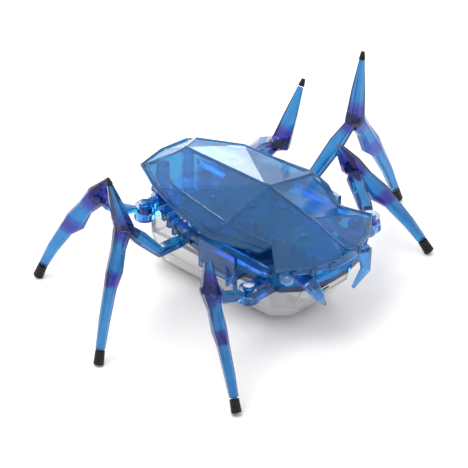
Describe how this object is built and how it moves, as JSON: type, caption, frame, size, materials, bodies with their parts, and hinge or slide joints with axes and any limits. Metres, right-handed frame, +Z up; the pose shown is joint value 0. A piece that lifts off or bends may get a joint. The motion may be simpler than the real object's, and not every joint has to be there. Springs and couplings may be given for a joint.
{
  "type": "hexapod robot toy",
  "caption": "Beetle-shaped walking robot toy with a faceted translucent shell, clear belly, gear train and hinged legs with rubber feet.",
  "frame": {"origin": "centre of the bounding box on the surface that the feet stand on", "axes": "-Y is where the head points, +X is the robot's left side, +Z is up"},
  "size_m": [0.0748, 0.0554, 0.0344],
  "materials": {
    "blue_plastic": "glossy translucent blue, darker where walls overlap",
    "frosted_shell": "satin translucent blue",
    "clear_plastic": "clear colourless",
    "black_rubber": "matt black",
    "steel": "plated",
    "nylon": "natural white, slightly translucent"
  },
  "bodies": {
    "root": {"top_shell": "frosted_shell", "chassis_frame": "blue_plastic", "mandible_right": "blue_plastic", "mandible_left": "blue_plastic", "eye_lens_right": "clear_plastic", "eye_lens_left": "clear_plastic", "belly_housing": "clear_plastic", "battery_door": "clear_plastic", "door_screw_1": "steel", "door_screw_2": "steel", "button_cell_rear": "steel", "button_cell_front": "steel", "contact_rear": "steel", "contact_bridge": "steel", "motor_can": "steel", "first_axle": "steel", "second_axle": "steel", "crank_axle_right": "steel", "crank_axle_left": "steel", "front_right_hip_pin": "blue_plastic", "middle_right_hip_pin": "blue_plastic", "rear_right_hip_pin": "blue_plastic", "front_left_hip_pin": "blue_plastic", "middle_left_hip_pin": "blue_plastic", "rear_left_hip_pin": "blue_plastic"},
    "leg_front_right": {"front_right_thigh": "blue_plastic", "front_right_shin": "blue_plastic", "front_right_boot": "black_rubber"},
    "leg_middle_right": {"middle_right_thigh": "blue_plastic", "middle_right_shin": "blue_plastic", "middle_right_boot": "black_rubber", "middle_right_spike_tip": "black_rubber"},
    "leg_rear_right": {"rear_right_thigh": "blue_plastic", "rear_right_shin": "blue_plastic", "rear_right_boot": "black_rubber"},
    "leg_front_left": {"front_left_thigh": "blue_plastic", "front_left_shin": "blue_plastic", "front_left_boot": "black_rubber"},
    "leg_middle_left": {"middle_left_thigh": "blue_plastic", "middle_left_shin": "blue_plastic", "middle_left_boot": "black_rubber", "middle_left_spike_tip": "black_rubber"},
    "leg_rear_left": {"rear_left_thigh": "blue_plastic", "rear_left_shin": "blue_plastic", "rear_left_boot": "black_rubber", "rear_left_spike_tip": "black_rubber"},
    "switch": {"switch_slider": "black_rubber"},
    "pinion_motor": {"motor_pinion": "nylon"},
    "gear_first": {"first_gear": "nylon"},
    "gear_second": {"second_gear": "nylon"},
    "crank_right": {"crank_gear_right": "nylon"},
    "crank_left": {"crank_gear_left": "nylon"},
    "bar_right": {"drive_bar_right": "blue_plastic"},
    "bar_left": {"drive_bar_left": "blue_plastic"}
  },
  "joints": [
    {"name": "front_right_swing", "type": "hinge", "parent": "root", "child": "leg_front_right", "pos_m": [-0.0152, -0.0148, 0.0123], "axis": [0, 0, 1], "range_deg": [-22, 3]},
    {"name": "middle_right_swing", "type": "hinge", "parent": "root", "child": "leg_middle_right", "pos_m": [-0.008, 0.0036, 0.0123], "axis": [0, 0, 1], "range_deg": [-3, 22]},
    {"name": "rear_right_swing", "type": "hinge", "parent": "root", "child": "leg_rear_right", "pos_m": [-0.0095, 0.0158, 0.0123], "axis": [0, 0, 1], "range_deg": [-22, 3]},
    {"name": "front_left_swing", "type": "hinge", "parent": "root", "child": "leg_front_left", "pos_m": [0.0152, -0.0148, 0.0123], "axis": [0, 0, 1], "range_deg": [-22, 3]},
    {"name": "middle_left_swing", "type": "hinge", "parent": "root", "child": "leg_middle_left", "pos_m": [0.008, 0.0036, 0.0123], "axis": [0, 0, 1], "range_deg": [-3, 22]},
    {"name": "rear_left_swing", "type": "hinge", "parent": "root", "child": "leg_rear_left", "pos_m": [0.0095, 0.0158, 0.0123], "axis": [0, 0, 1], "range_deg": [-22, 3]},
    {"name": "bar_right_slide", "type": "slide", "parent": "root", "child": "bar_right", "axis": [0, 1, 0], "range_m": [-0.0015, 0.00025]},
    {"name": "bar_left_slide", "type": "slide", "parent": "root", "child": "bar_left", "axis": [0, 1, 0], "range_m": [-0.00025, 0.0015]},
    {"name": "crank_right_spin", "type": "hinge", "parent": "root", "child": "crank_right", "pos_m": [-0.0056, 0.0031, 0.0159], "axis": [0, 0, 1], "continuous": true},
    {"name": "crank_left_spin", "type": "hinge", "parent": "root", "child": "crank_left", "pos_m": [0.0056, 0.0031, 0.0159], "axis": [0, 0, 1], "continuous": true},
    {"name": "gear_second_spin", "type": "hinge", "parent": "root", "child": "gear_second", "pos_m": [-0.0024, -0.00335, 0.0163], "axis": [0, 0, 1], "continuous": true},
    {"name": "gear_first_spin", "type": "hinge", "parent": "root", "child": "gear_first", "pos_m": [0.00056, -0.00763, 0.0158], "axis": [0, 0, 1], "continuous": true},
    {"name": "motor_spin", "type": "hinge", "parent": "root", "child": "pinion_motor", "pos_m": [0, -0.0132, 0.014], "axis": [0, 0, 1], "continuous": true},
    {"name": "switch_slide", "type": "slide", "parent": "root", "child": "switch", "axis": [1, 0, 0], "range_m": [0, 0.002]}
  ],
  "couplings": [
    {"joint": "middle_right_swing", "follows": "front_right_swing", "ratio": -1},
    {"joint": "rear_right_swing", "follows": "front_right_swing", "ratio": 1},
    {"joint": "front_left_swing", "follows": "front_right_swing", "ratio": 1},
    {"joint": "middle_left_swing", "follows": "front_right_swing", "ratio": -1},
    {"joint": "rear_left_swing", "follows": "front_right_swing", "ratio": 1},
    {"joint": "bar_right_slide", "follows": "front_right_swing", "m_per_rad": 0.0038},
    {"joint": "bar_left_slide", "follows": "front_right_swing", "m_per_rad": -0.0038},
    {"joint": "crank_left_spin", "follows": "crank_right_spin", "ratio": -1},
    {"joint": "gear_second_spin", "follows": "crank_right_spin", "ratio": -3.5},
    {"joint": "gear_first_spin", "follows": "crank_right_spin", "ratio": 7.875},
    {"joint": "motor_spin", "follows": "crank_right_spin", "ratio": -19.688}
  ]
}
